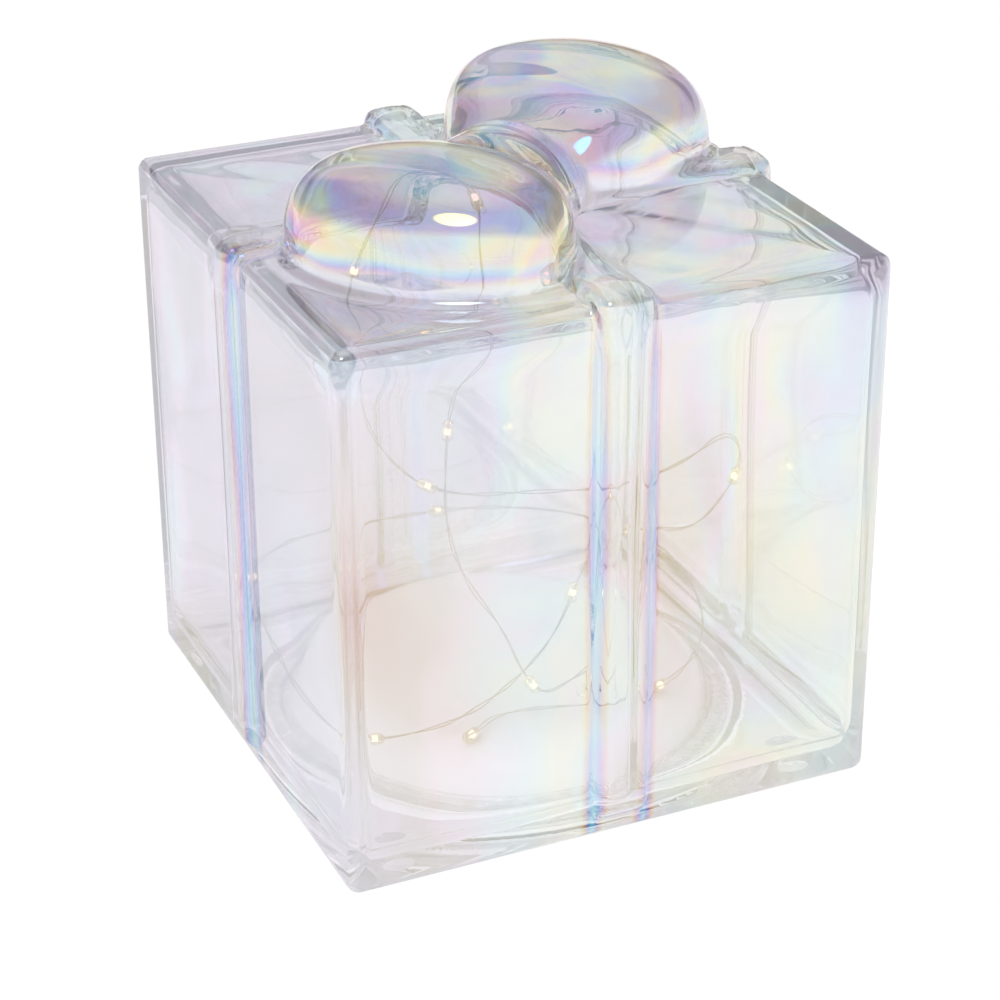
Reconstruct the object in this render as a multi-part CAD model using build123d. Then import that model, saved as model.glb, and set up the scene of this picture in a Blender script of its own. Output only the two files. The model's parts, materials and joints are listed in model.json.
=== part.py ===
from build123d import *
import math
import os

# Light-up gift box: a hollow blown-glass present with ribbons and a bow, lit from inside by a
# fairy-light string on a battery base that is bonded into the floor of the glass.
# Millimetres, +Z up. The origin is the centre of the plane that the box stands on, and the bow
# runs along the diagonal from the front left corner (-X, -Y) to the back right one.

# Construction
RUN_PAST = 1.0  # how far a cutting or joining shape runs past the surface it meets
BEND_SHARE = 0.45  # of a straight run, taken by the arc at either end of it

# Glass box
BOX_WIDTH = 150.0  # between opposite side faces
BOX_HEIGHT = 150.0  # from the underside to the top plane
GLASS_WALL = 3.2
GLASS_FLOOR = 5.0
UPRIGHT_EDGE_RADIUS = 5.0
TOP_EDGE_RADIUS = 3.5
BOTTOM_EDGE_RADIUS = 4.0
INNER_UPRIGHT_RADIUS = 8.0  # glass pools inside the corners
INNER_RIM_RADIUS = 4.0  # inside the top and the bottom edges

# Ribbon moulded round the box
RIBBON_WIDTH = 15.0
RIBBON_RISE = 3.0
RIBBON_BOTTOM = 6.5  # bare glass below each ribbon end
RIBBON_TURN_RADIUS = 6.0  # where the ribbon turns over the top edge
RIBBON_EDGE_RADIUS = 2.0
SHOULDER_RADIUS = 8.2  # the bead where the ribbon crosses a top edge
SHOULDER_RISE = 4.2

# Bow
BOW_TURN = 41.3  # degrees about Z
LOOP_BEND = 2.9  # degrees that each loop leans off the line of the bow, both to the same side
LOOP_REACH = 72.5
LOOP_HALF_WIDTH = 41.0
LOOP_WIDEST_AT = 48.5
LOOP_ROOT_HALF_WIDTH = 18.5
LOOP_CORNER_RADIUS = 17.0
LOOP_HEIGHT = 29.5
LOOP_CROWN_AT = 45.5
LOOP_END_HEIGHT = 20.8
LOOP_SIDE_HEIGHT = 17.4
LOOP_RIM_RADIUS = 11.0
KNOT_HALF_LENGTH = 21.5
KNOT_WIDTH = 22.0
KNOT_HEIGHT = 20.7
KNOT_EDGE_RADIUS = 5.0

# Feet
FOOT_HEIGHT = 1.2
FOOT_RADIUS = 4.5
FOOT_EDGE_RADIUS = 0.4
FOOT_INSET = 17.0  # from a side face of the box to a foot's centre

# Seat of the base unit in the glass
RECESS_MARGIN = 9.0  # from a side face of the box to the recess
RECESS_DEPTH = 2.4
RECESS_LEDGE = 8.0  # from the recess wall to the opening
FLANGE_CLEARANCE = 2.5
SEAL_SIDE = 0.7
SEAL_BED = 0.4

# Base unit
TRAY_PLATE = 1.6
COVER_WALL = 1.8
COVER_SHOULDER_RADIUS = 13.0
RIB_HEIGHT = 2.5
RIB_WALL = 1.4
FIT_CLEARANCE = 0.3
SNUG_CLEARANCE = 0.2

# Cells, size AAA
CELL_COUNT = 3
CELL_RADIUS = 5.25
CELL_LENGTH = 44.5
CELL_NUB_RADIUS = 1.9
CELL_NUB_LENGTH = 1.0
CELL_SPACING = 0.7
CELL_EDGE_RADIUS = 0.5

# Battery bay
BAY_Y = 7.0
BAY_WALL = 1.2
BAY_SIDE_CLEARANCE = 0.6
CONTACT_THICKNESS = 0.4
CONTACT_WIDTH = 9.0
CONTACT_HEIGHT = 9.0
TAB_WIDTH = 3.0
TAB_REACH = 1.6
TAB_RISE = 3.0  # above the cells' axes

# Contact springs
SPRING_LENGTH = 5.0
SPRING_WIRE = 0.6
SPRING_BASE_RADIUS = 3.8
SPRING_TIP_RADIUS = 2.2
SPRING_TURNS = 3.5
SPRING_END_GAP = 0.08
SPRING_ARC_PAIRS = 4  # pairs of arcs in one turn of the wire
SPRING_SAMPLES = 48  # places in one turn at which the gap between turns is measured
SPRING_STEP = 1e-4  # of a turn, to find the direction of the wire

# Battery door
HINGE_BARREL_RADIUS = 2.8
HINGE_PIN_RADIUS = 1.2
HINGE_PIN_LENGTH = 2.6
HINGE_PIN_CLEARANCE = 0.06
CHEEK_WIDTH = 3.5
CHEEK_HEIGHT = 4.4
BARREL_GAP = 0.4
LATCH_WIDTH = 9.0
LATCH_THICKNESS = 1.0
LATCH_HEIGHT = 2.0
LATCH_HOOK = 0.8
LATCH_HOOK_HEIGHT = 1.2
NOTCH_RADIUS = 6.0
GRIP_COUNT = 5
GRIP_START = 4.4  # from the door's free edge to the first groove
GRIP_PITCH = 2.2
GRIP_RADIUS = 0.6
GRIP_LENGTH = 14.0

# Fasteners of the base unit
SCREW_COUNT = 4
SCREW_ANGLE = 25.0
SCREW_MARGIN = 10.0  # from the cover's outside to a screw
SCREW_RADIUS = 1.4
SCREW_LENGTH = 8.0
SCREW_HEAD_RADIUS = 2.6
SCREW_HEAD_HEIGHT = 1.6
SCREW_CROSS_SPAN = 3.4
SCREW_CROSS_WIDTH = 0.8
SCREW_CROSS_DEPTH = 0.9
SCREW_TIP_CHAMFER = 0.7
PILOT_RADIUS = 1.2
BOSS_RADIUS = 3.6

# Circuit board
BOARD_LENGTH = 40.0
BOARD_WIDTH = 18.0
BOARD_THICKNESS = 1.2
BOARD_Y = -25.0
BOARD_EDGE_TO_PEG = 3.0
PEG_RADIUS = 1.0
POST_RADIUS = 2.2
PEG_STAND = 0.8
CHIP_LENGTH = 5.0
CHIP_WIDTH = 4.0
CHIP_HEIGHT = 1.5
CHIP_X = -7.0
CHIP_LEG_PITCH = 1.27
CHIP_LEG_COUNT = 4
CHIP_LEG_WIDTH = 0.45
CHIP_LEG_REACH = 1.0
CHIP_LEG_THICKNESS = 0.2
CRYSTAL_RADIUS = 1.5
CRYSTAL_LENGTH = 7.0
CRYSTAL_X = -9.0
RESISTOR_RADIUS = 1.1
RESISTOR_LENGTH = 5.0
RESISTOR_X = 6.0
PART_ROW_Y = 4.0  # of the parts' rows, to each side of the board's middle
ROUND_PART_EDGE_RADIUS = 0.4
WIRE_LEG_RADIUS = 0.25
WIRE_LEG_REACH = 1.2

# Slide switch
SWITCH_LENGTH = 12.7
SWITCH_WIDTH = 6.0
SWITCH_HEIGHT = 4.8
SWITCH_EDGE_RADIUS = 0.4
SWITCH_TRAVEL = 4.0
SLIDER_LENGTH = 4.4
SLIDER_WIDTH = 3.0
SLIDER_HEIGHT = 2.8
KNOB_LENGTH = 3.0
KNOB_WIDTH = 2.2
KNOB_EDGE_RADIUS = 0.3
KNOB_STAND = 1.8  # below the floor of its dish
DISH_LENGTH = 17.0
DISH_WIDTH = 8.0
DISH_DEPTH = 1.4
DISH_WALL = 1.6

# Leads and grommet
LEAD_RADIUS = 0.6
LEAD_RISE = 3.2  # of the leads above the board
LEAD_RUN_OUT = 2.4  # straight run of a lead off its tab
LEAD_SWING = 1.8  # how far a lead moves across at a bend
LEAD_DIP = 1.2  # how far it falls before it drops to the board
GROMMET_BORE_CLEARANCE = 0.3
GROMMET_BODY_RADIUS = 2.5
GROMMET_FLANGE_RADIUS = 3.75
GROMMET_FLANGE_HEIGHT = 1.2

# Light string
STRING_DIAMETER = 0.9  # over the pair of fine wires
BEAD_LENGTH = 5.6
BEAD_RADIUS = 1.65
CHIP_LED_LENGTH = 1.6
CHIP_LED_WIDTH = 0.8

# Light string route, from the grommet up into the bow, round the box and down onto the base
STRING_X = 13.0
STRING_Y = -30.0
STRING_ROUTE = [
    (13.0, -30.0, 25.0),
    (10.5, -36.0, 29.5),
    (1.0, -40.5, 29.0),
    (-6.5, -41.0, 27.0),
    (-12.0, -40.0, 34.5),
    (-17.0, -38.0, 49.0),
    (-27.0, -36.0, 64.0),
    (-31.0, -34.0, 80.5),
    (-30.0, -33.0, 98.5),
    (-29.0, -34.0, 114.5),
    (-22.5, -35.0, 129.0),
    (-19.5, -35.0, 142.5),
    (-22.5, -40.0, 155.5),
    (-23.5, -41.0, 165.0),
    (-23.5, -35.5, 171.0),
    (-27.0, -28.0, 174.0),
    (-35.0, -26.5, 173.5),
    (-43.0, -30.0, 169.0),
    (-50.0, -33.0, 159.5),
    (-52.5, -27.0, 145.5),
    (-52.0, -22.0, 129.0),
    (-48.0, -21.0, 107.0),
    (-38.5, -23.0, 91.0),
    (-25.5, -27.0, 84.0),
    (-5.0, -31.0, 83.0),
    (18.5, -32.0, 79.0),
    (41.0, -28.0, 80.0),
    (58.0, -22.0, 85.0),
    (66.0, -17.0, 73.0),
    (62.0, -13.0, 59.5),
    (51.0, -13.0, 50.0),
    (32.5, -15.0, 57.5),
    (18.5, -16.0, 51.5),
    (10.5, -17.0, 32.0),
    (-4.5, -22.0, 22.0),
    (-27.0, -34.0, 20.5),
    (-47.0, -36.0, 21.0),
    (-59.5, -36.0, 23.5),
    (-65.5, -23.0, 30.0),
    (-66.0, -3.0, 37.0),
    (-64.0, 19.0, 41.0),
    (-57.0, 40.0, 40.0),
    (-41.0, 56.0, 36.0),
    (-10.0, 62.0, 33.0),
    (24.0, 60.0, 32.0),
    (49.0, 46.0, 30.0),
    (62.0, 18.0, 27.0),
    (57.0, -14.0, 23.5),
    (42.0, -34.0, 20.5),
    (18.0, -43.0, 20.0),
    (-3.0, -35.5, 19.7),
    (-17.0, -33.5, 19.6),
    (-25.3, -39.1, 19.5),
    (-29.0, -41.5, 19.5),
]
# A bead sits at the middle of each of these runs, and the last one closes the string's end
BEAD_RUNS = [4, 9, 14, 19, 23, 29, 33, 37, 41, 44, 46, 49, 53]

# Levels
GLASS_BOTTOM = FOOT_HEIGHT
GLASS_TOP = GLASS_BOTTOM + BOX_HEIGHT
FLOOR_TOP = GLASS_BOTTOM + GLASS_FLOOR
RECESS_TOP = GLASS_BOTTOM + RECESS_DEPTH
PLATE_TOP = RECESS_TOP - SEAL_BED
PLATE_BOTTOM = PLATE_TOP - TRAY_PLATE
CELL_Z = PLATE_TOP + FIT_CLEARANCE + CELL_RADIUS
BAY_TOP = CELL_Z + CELL_RADIUS + FIT_CLEARANCE
BAY_ROOF = BAY_TOP + BAY_WALL
COVER_INNER_TOP = BAY_ROOF + SNUG_CLEARANCE
COVER_TOP = COVER_INNER_TOP + COVER_WALL
DISH_TOP = PLATE_BOTTOM + DISH_DEPTH
DISH_FLOOR_TOP = DISH_TOP + DISH_WALL
BOARD_BOTTOM = DISH_FLOOR_TOP + SWITCH_HEIGHT
BOARD_TOP = BOARD_BOTTOM + BOARD_THICKNESS
GROMMET_TOP = COVER_TOP + GROMMET_FLANGE_HEIGHT

# Radii and reaches
RECESS_RADIUS = BOX_WIDTH / 2 - RECESS_MARGIN
OPENING_RADIUS = RECESS_RADIUS - RECESS_LEDGE
FLANGE_RADIUS = RECESS_RADIUS - FLANGE_CLEARANCE
COVER_RADIUS = OPENING_RADIUS - SEAL_SIDE
SCREW_CIRCLE = COVER_RADIUS - SCREW_MARGIN
CELL_PITCH = 2 * CELL_RADIUS + CELL_SPACING
BAY_LENGTH = CELL_LENGTH + SPRING_LENGTH + 2 * CONTACT_THICKNESS
BAY_WIDTH = CELL_PITCH * (CELL_COUNT - 1) + 2 * (CELL_RADIUS + BAY_SIDE_CLEARANCE)
BAY_FRONT = BAY_Y - BAY_WIDTH / 2
BAY_BACK = BAY_Y + BAY_WIDTH / 2
HINGE_Y = BAY_BACK + BAY_WALL + BARREL_GAP + HINGE_BARREL_RADIUS
HINGE_Z = PLATE_BOTTOM + HINGE_BARREL_RADIUS
TAB_TIP = BAY_LENGTH / 2 + BAY_WALL + TAB_REACH
TAB_Z = CELL_Z + TAB_RISE
SWITCH_ON_X = SWITCH_TRAVEL / 2
STRING_RADIUS = STRING_DIAMETER / 2


def block(x_low, x_high, y_low, y_high, z_low, z_high):
    """A plain block between two corners."""
    size = (x_high - x_low, y_high - y_low, z_high - z_low)
    middle = ((x_high + x_low) / 2, (y_high + y_low) / 2, (z_high + z_low) / 2)
    return Pos(*middle) * Box(*size)


def post(radius, x, y, z_low, z_high):
    """An upright round post."""
    return Pos(x, y, (z_low + z_high) / 2) * Cylinder(radius, z_high - z_low)


def bar_along_x(radius, x_low, x_high, y, z):
    """A round bar along X."""
    return Pos((x_low + x_high) / 2, y, z) * Rot(0, 90, 0) * Cylinder(radius, x_high - x_low)


def turned(points):
    """A solid turned about Z from a closed outline of (radius, height) points."""
    face = make_face(Polyline([(r, 0, z) for r, z in points], close=True))
    return revolve(face, Axis.Z)


def tube_along(points, radius):
    """A round tube on straight runs joined by arcs as large as the runs allow."""
    corners = [Vector(*p) for p in points]
    runs = [b - a for a, b in zip(corners, corners[1:])]
    radii = []
    for before, after in zip(runs, runs[1:]):
        half_turn = math.radians(before.get_angle(after)) / 2
        radii.append(BEND_SHARE * min(before.length, after.length) / math.tan(half_turn))
    path = FilletPolyline(*corners, radius=radii)
    start = Plane(origin=corners[0], z_dir=runs[0])
    return sweep(start * Circle(radius), path=path), path.length, radii


# Glass


def glass_block(inset, bottom, edge_radii):
    """The box of the present, with its upright, top and bottom edges rounded."""
    upright, top, low = edge_radii
    half = BOX_WIDTH / 2 - inset
    body = block(-half, half, -half, half, bottom, GLASS_TOP - inset)
    body = fillet(body.edges().filter_by(Axis.Z), upright)
    body = fillet(body.edges().group_by(Axis.Z)[-1], top)
    return fillet(body.edges().group_by(Axis.Z)[0], low)


def ribbon_band(inset):
    """One ribbon up a side, over the top and down the other side, along Y."""
    half = BOX_WIDTH / 2 + RIBBON_RISE - inset
    low = GLASS_BOTTOM + RIBBON_BOTTOM + inset
    high = GLASS_TOP + RIBBON_RISE - inset
    side = RIBBON_WIDTH / 2 - inset
    band = block(-side, side, -half, half, low, high)
    band = fillet(band.edges().filter_by(Axis.X), RIBBON_TURN_RADIUS - inset)
    rims = band.faces().filter_by(Axis.X).edges()
    return fillet(rims, RIBBON_EDGE_RADIUS) if inset == 0 else band


def ribbon_shoulders():
    """The round beads where one ribbon crosses the top edges of the box."""
    reach = BOX_WIDTH / 2 + SHOULDER_RISE - SHOULDER_RADIUS
    height = GLASS_TOP + SHOULDER_RISE - SHOULDER_RADIUS
    return [Pos(0, side * reach, height) * Sphere(SHOULDER_RADIUS) for side in (-1, 1)]


def loop_plan(inset):
    """The outline of one bow loop, seen from above, reaching along +X from the knot."""
    sides = [(0, -LOOP_ROOT_HALF_WIDTH), (LOOP_WIDEST_AT, -LOOP_HALF_WIDTH)]
    mirrored = [(x, -y) for x, y in reversed(sides)]
    outline = Polyline(mirrored + sides)
    end = ThreePointArc(sides[1], (LOOP_REACH, 0), mirrored[0])
    plan = make_face([outline, end])
    wide_corners = plan.vertices().group_by(Axis.X)[-1]
    plan = fillet(wide_corners, LOOP_CORNER_RADIUS)
    return offset(plan, amount=-inset, kind=Kind.INTERSECTION) if inset else plan


def loop_crown(inset):
    """The spheroid that domes a loop: an ellipse turned about a line across the bow."""
    drop = LOOP_HEIGHT - LOOP_END_HEIGHT
    span = LOOP_REACH - LOOP_CROWN_AT
    girth = (span**2 + drop**2) / (2 * drop)
    side_girth = girth - LOOP_HEIGHT + LOOP_SIDE_HEIGHT
    stretch = LOOP_HALF_WIDTH / math.sqrt(1 - (side_girth / girth) ** 2)
    axis_height = GLASS_TOP + LOOP_HEIGHT - girth
    crown = EllipticalCenterArc((0, 0), stretch - inset, girth - inset, arc_size=180)
    place = Plane(origin=(LOOP_CROWN_AT, 0, axis_height), x_dir=(0, 1, 0), z_dir=(1, 0, 0))
    face = place * make_face([crown, Line(crown @ 1, crown @ 0)])
    return revolve(face, Axis((LOOP_CROWN_AT, 0, axis_height), (0, 1, 0)))


def bow_loop(inset, low):
    """One hollow loop of the bow along +X, from the given level up to its domed crown."""
    prism = Pos(0, 0, low) * extrude(loop_plan(inset), GLASS_TOP + LOOP_HEIGHT + RUN_PAST - low)
    loop = prism & loop_crown(inset)
    crown = loop.faces().filter_by(GeomType.REVOLUTION)
    rim = [edge for edge in crown.edges() if edge.center().Z > GLASS_TOP]
    return fillet(rim, LOOP_RIM_RADIUS - inset)


def bow_knot(inset, low):
    """The arched band across the middle of the bow."""
    girth = (KNOT_HALF_LENGTH**2 + KNOT_HEIGHT**2) / (2 * KNOT_HEIGHT)
    axis_height = GLASS_TOP + KNOT_HEIGHT - girth
    drum = Pos(0, 0, axis_height) * Rot(0, 90, 0) * Cylinder(girth - inset, KNOT_WIDTH - 2 * inset)
    if inset == 0:
        drum = fillet(drum.edges().filter_by(GeomType.CIRCLE), KNOT_EDGE_RADIUS)
    half = KNOT_HALF_LENGTH
    high = GLASS_TOP + KNOT_HEIGHT + RUN_PAST
    return drum & block(-KNOT_WIDTH, KNOT_WIDTH, -half, half, low, high)


def present_form(inset, bottom, edge_radii, low):
    """Box, ribbons and bow as one solid, drawn in by the inset."""
    form = glass_block(inset, bottom, edge_radii)
    for turn in (0, 90):
        form += Rot(0, 0, turn) * ribbon_band(inset)
        if inset == 0:
            for shoulder in ribbon_shoulders():
                form += Rot(0, 0, turn) * shoulder
    form += Rot(0, 0, BOW_TURN) * bow_knot(inset, low - RUN_PAST)
    for turn in (BOW_TURN - LOOP_BEND, BOW_TURN + LOOP_BEND + 180):
        form += Rot(0, 0, turn) * bow_loop(inset, low)
    return form


def make_glass_body():
    """The blown shell: one hollow piece, with the seat and opening for the base unit."""
    outer_radii = (UPRIGHT_EDGE_RADIUS, TOP_EDGE_RADIUS, BOTTOM_EDGE_RADIUS)
    inner_radii = (INNER_UPRIGHT_RADIUS, INNER_RIM_RADIUS, INNER_RIM_RADIUS)
    outer = present_form(0, GLASS_BOTTOM, outer_radii, GLASS_TOP - GLASS_WALL)
    inner = present_form(GLASS_WALL, FLOOR_TOP, inner_radii, GLASS_TOP - 2 * GLASS_WALL)
    shell = outer - inner
    shell -= post(OPENING_RADIUS, 0, 0, GLASS_BOTTOM - RUN_PAST, FLOOR_TOP + RUN_PAST)
    return shell - post(RECESS_RADIUS, 0, 0, GLASS_BOTTOM - RUN_PAST, RECESS_TOP)


def make_bumper_feet():
    """Four clear pads under the corners of the glass."""
    spread = BOX_WIDTH / 2 - FOOT_INSET
    pad = Pos(0, 0, FOOT_HEIGHT / 2) * Cylinder(FOOT_RADIUS, FOOT_HEIGHT)
    pad = fillet(pad.edges().group_by(Axis.Z)[0], FOOT_EDGE_RADIUS)
    return Compound([Pos(x * spread, y * spread, 0) * pad for x in (-1, 1) for y in (-1, 1)])


def make_silicone_seal():
    """The bead that bonds the base unit to the rim of the opening."""
    section = [
        (COVER_RADIUS, PLATE_TOP),
        (FLANGE_RADIUS, PLATE_TOP),
        (FLANGE_RADIUS, RECESS_TOP),
        (OPENING_RADIUS, RECESS_TOP),
        (OPENING_RADIUS, FLOOR_TOP),
        (COVER_RADIUS, FLOOR_TOP),
    ]
    return turned(section)


# Base unit


def screw_places():
    """Where the screws that join the tray and the cover stand."""
    angles = [SCREW_ANGLE, 180 - SCREW_ANGLE, 180 + SCREW_ANGLE, -SCREW_ANGLE]
    for angle in angles[:SCREW_COUNT]:
        turn = math.radians(angle)
        yield SCREW_CIRCLE * math.cos(turn), SCREW_CIRCLE * math.sin(turn)


SCREW_SEAT = PLATE_BOTTOM + SCREW_HEAD_HEIGHT + SNUG_CLEARANCE
SCREW_COLUMN_TOP = SCREW_SEAT + TRAY_PLATE
PEG_X = BOARD_LENGTH / 2 - BOARD_EDGE_TO_PEG
PEG_Y = BOARD_WIDTH / 2 - BOARD_EDGE_TO_PEG


def peg_places():
    """Where the pegs that hold the board stand."""
    for x in (-PEG_X, PEG_X):
        for y in (-PEG_Y, PEG_Y):
            yield x, BOARD_Y + y


def cover_profile(inset, low, high):
    """The outline of the cover's dome, drawn in by the inset."""
    radius = COVER_RADIUS - inset
    bend = COVER_SHOULDER_RADIUS - inset
    rim = Line((radius, 0, low), (radius, 0, high - bend))
    half = bend * math.sqrt(0.5)
    middle = (radius - bend + half, 0, high - bend + half)
    arc = ThreePointArc((radius, 0, high - bend), middle, (radius - bend, 0, high))
    rest = Polyline((radius - bend, 0, high), (0, 0, high), (0, 0, low), (radius, 0, low))
    return revolve(make_face([rim, arc, rest]), Axis.Z)


def make_base_cover():
    """The white domed top of the base unit, with its screw bosses."""
    dome = cover_profile(0, PLATE_TOP, COVER_TOP)
    cover = dome - cover_profile(COVER_WALL, PLATE_TOP - RUN_PAST, COVER_INNER_TOP)
    for x, y in screw_places():
        cover += post(BOSS_RADIUS, x, y, SCREW_COLUMN_TOP, COVER_TOP) & dome
        pilot_low = SCREW_COLUMN_TOP - RUN_PAST
        cover -= post(PILOT_RADIUS, x, y, pilot_low, SCREW_SEAT + SCREW_LENGTH)
    low, high = COVER_INNER_TOP - RUN_PAST, COVER_TOP + RUN_PAST
    return cover - post(GROMMET_BODY_RADIUS, STRING_X, STRING_Y, low, high)


def tray_bay():
    """The walls and roof of the battery bay, open below."""
    end = BAY_LENGTH / 2
    shell = block(
        -end - BAY_WALL, end + BAY_WALL, BAY_FRONT - BAY_WALL, BAY_BACK + BAY_WALL, PLATE_TOP, BAY_ROOF
    )
    low = PLATE_TOP - RUN_PAST
    shell -= block(-end, end, BAY_FRONT, BAY_BACK, low, BAY_TOP)
    door_back = BAY_BACK + BAY_WALL + RUN_PAST
    shell -= block(-end, end, BAY_BACK - RUN_PAST, door_back, low, PLATE_TOP + FIT_CLEARANCE)
    window = LATCH_WIDTH / 2 + FIT_CLEARANCE
    window_top = PLATE_TOP + LATCH_HEIGHT + FIT_CLEARANCE
    window_front = BAY_FRONT - BAY_WALL - RUN_PAST
    window_back = BAY_FRONT + RUN_PAST
    shell -= block(-window, window, window_front, window_back, PLATE_TOP, window_top)
    for side, y in ((-1, terminal_y(0)), (1, terminal_y(CELL_COUNT - 1))):
        slot = TAB_WIDTH / 2 + SNUG_CLEARANCE
        inner, outer = sorted((side * (end - RUN_PAST), side * (end + BAY_WALL + RUN_PAST)))
        slot_top = TAB_Z + CONTACT_THICKNESS + SNUG_CLEARANCE
        shell -= block(inner, outer, y - slot, y + slot, TAB_Z - SNUG_CLEARANCE, slot_top)
    return shell


def make_base_tray():
    """The base plate with its flange, battery bay, hinge cheeks, posts and switch dish."""
    end = BAY_LENGTH / 2
    opening_back = HINGE_Y + HINGE_BARREL_RADIUS + FIT_CLEARANCE
    rib_radius = COVER_RADIUS - COVER_WALL - FIT_CLEARANCE
    tray = post(FLANGE_RADIUS, 0, 0, PLATE_BOTTOM, PLATE_TOP)
    rib_top = PLATE_TOP + RIB_HEIGHT
    below = PLATE_BOTTOM - RUN_PAST
    rib = post(rib_radius, 0, 0, PLATE_TOP, rib_top)
    tray += rib - post(rib_radius - RIB_WALL, 0, 0, below, rib_top + RUN_PAST)
    tray -= block(-end, end, BAY_FRONT, opening_back, below, PLATE_TOP + RUN_PAST)
    tray += tray_bay()
    tray -= post(NOTCH_RADIUS, 0, BAY_FRONT, below, PLATE_BOTTOM + TRAY_PLATE / 2)
    for side in (-1, 1):
        inner, outer = sorted((side * end, side * (end + CHEEK_WIDTH)))
        back = HINGE_Y + HINGE_BARREL_RADIUS
        front = HINGE_Y - HINGE_BARREL_RADIUS
        cheek = block(inner, outer, front, back, PLATE_TOP - TRAY_PLATE / 2, PLATE_TOP + CHEEK_HEIGHT)
        bore = HINGE_PIN_RADIUS + HINGE_PIN_CLEARANCE
        tray += cheek
        tray -= bar_along_x(bore, inner - RUN_PAST, outer + RUN_PAST, HINGE_Y, HINGE_Z)
    for x, y in screw_places():
        tray += post(BOSS_RADIUS, x, y, PLATE_BOTTOM, SCREW_COLUMN_TOP)
        tray -= post(SCREW_HEAD_RADIUS + SNUG_CLEARANCE, x, y, below, SCREW_SEAT)
        tray -= post(SCREW_RADIUS + SNUG_CLEARANCE, x, y, below, SCREW_COLUMN_TOP + RUN_PAST)
    for x, y in peg_places():
        tray += post(POST_RADIUS, x, y, PLATE_TOP - TRAY_PLATE / 2, BOARD_BOTTOM)
        tray += post(PEG_RADIUS, x, y, BOARD_BOTTOM - RUN_PAST, BOARD_TOP + PEG_STAND)
    long, wide = DISH_LENGTH / 2, DISH_WIDTH / 2
    tray += block(
        -long - DISH_WALL,
        long + DISH_WALL,
        BOARD_Y - wide - DISH_WALL,
        BOARD_Y + wide + DISH_WALL,
        PLATE_BOTTOM,
        DISH_FLOOR_TOP,
    )
    tray -= block(-long, long, BOARD_Y - wide, BOARD_Y + wide, below, DISH_TOP)
    slot = (KNOB_LENGTH + SWITCH_TRAVEL) / 2 + FIT_CLEARANCE
    slot_side = KNOB_WIDTH / 2 + FIT_CLEARANCE
    slot_low, slot_high = DISH_TOP - RUN_PAST, DISH_FLOOR_TOP + RUN_PAST
    return tray - block(-slot, slot, BOARD_Y - slot_side, BOARD_Y + slot_side, slot_low, slot_high)


def make_base_screws():
    """The screws that join the tray to the cover, put in from below."""
    screws = []
    for x, y in screw_places():
        head = post(SCREW_HEAD_RADIUS, x, y, SCREW_SEAT - SCREW_HEAD_HEIGHT, SCREW_SEAT)
        shank = post(SCREW_RADIUS, x, y, SCREW_SEAT, SCREW_SEAT + SCREW_LENGTH)
        head_low = SCREW_SEAT - SCREW_HEAD_HEIGHT
        for turn in (0, 90):
            arm = Box(SCREW_CROSS_SPAN, SCREW_CROSS_WIDTH, 2 * SCREW_CROSS_DEPTH)
            head -= Pos(x, y, head_low) * Rot(0, 0, turn) * arm
        screws.append(head + chamfer(shank.edges().group_by(Axis.Z)[-1], SCREW_TIP_CHAMFER))
    return Compound(screws)


# Battery door


def make_battery_door():
    """The door under the cells: a plate with a hinge barrel, stub pins, a latch and grip ribs."""
    half = BAY_LENGTH / 2 - FIT_CLEARANCE
    front = BAY_FRONT + FIT_CLEARANCE
    door = block(-half, half, front, HINGE_Y, PLATE_BOTTOM, PLATE_TOP)
    door += bar_along_x(HINGE_BARREL_RADIUS, -half, half, HINGE_Y, HINGE_Z)
    pin_end = half + HINGE_PIN_LENGTH
    door += bar_along_x(HINGE_PIN_RADIUS, -pin_end, pin_end, HINGE_Y, HINGE_Z)
    latch = LATCH_WIDTH / 2
    latch_top = PLATE_TOP + LATCH_HEIGHT
    door += block(-latch, latch, front, front + LATCH_THICKNESS, PLATE_BOTTOM, latch_top)
    hook_front = BAY_FRONT - LATCH_HOOK
    hook_low = latch_top - LATCH_HOOK_HEIGHT
    door += block(-latch, latch, hook_front, front + LATCH_THICKNESS, hook_low, latch_top)
    for row in range(GRIP_COUNT):
        y = front + GRIP_START + row * GRIP_PITCH
        groove = bar_along_x(GRIP_RADIUS, -GRIP_LENGTH / 2, GRIP_LENGTH / 2, y, PLATE_BOTTOM)
        door -= groove
    return door


# Cells and contacts


def terminal_y(index):
    """The place of a cell across the bay."""
    return BAY_Y + (index - (CELL_COUNT - 1) / 2) * CELL_PITCH


def plus_side(index):
    """The end of the bay, -1 or 1 along X, that a cell's positive end faces."""
    return -1 if index % 2 == 0 else 1


def make_cell(index):
    """One cell, with its button against the contact at its positive end."""
    body_length = CELL_LENGTH - CELL_NUB_LENGTH
    can = Cylinder(CELL_RADIUS, body_length)
    can = fillet(can.edges(), CELL_EDGE_RADIUS)
    nub = Pos(0, 0, (body_length + CELL_NUB_LENGTH) / 2) * Cylinder(CELL_NUB_RADIUS, CELL_NUB_LENGTH)
    side = plus_side(index)
    button_tip = side * (BAY_LENGTH / 2 - CONTACT_THICKNESS)
    middle = button_tip - side * (CELL_NUB_LENGTH + body_length / 2)
    return Pos(middle, terminal_y(index), CELL_Z) * Rot(0, 90 * side, 0) * (can + nub)


def contact_plate(side, y_low, y_high):
    """A flat contact against one end wall of the bay."""
    face = side * BAY_LENGTH / 2
    inner, outer = sorted((face, face - side * CONTACT_THICKNESS))
    half = CONTACT_HEIGHT / 2
    return block(inner, outer, y_low, y_high, CELL_Z - half, CELL_Z + half)


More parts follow.
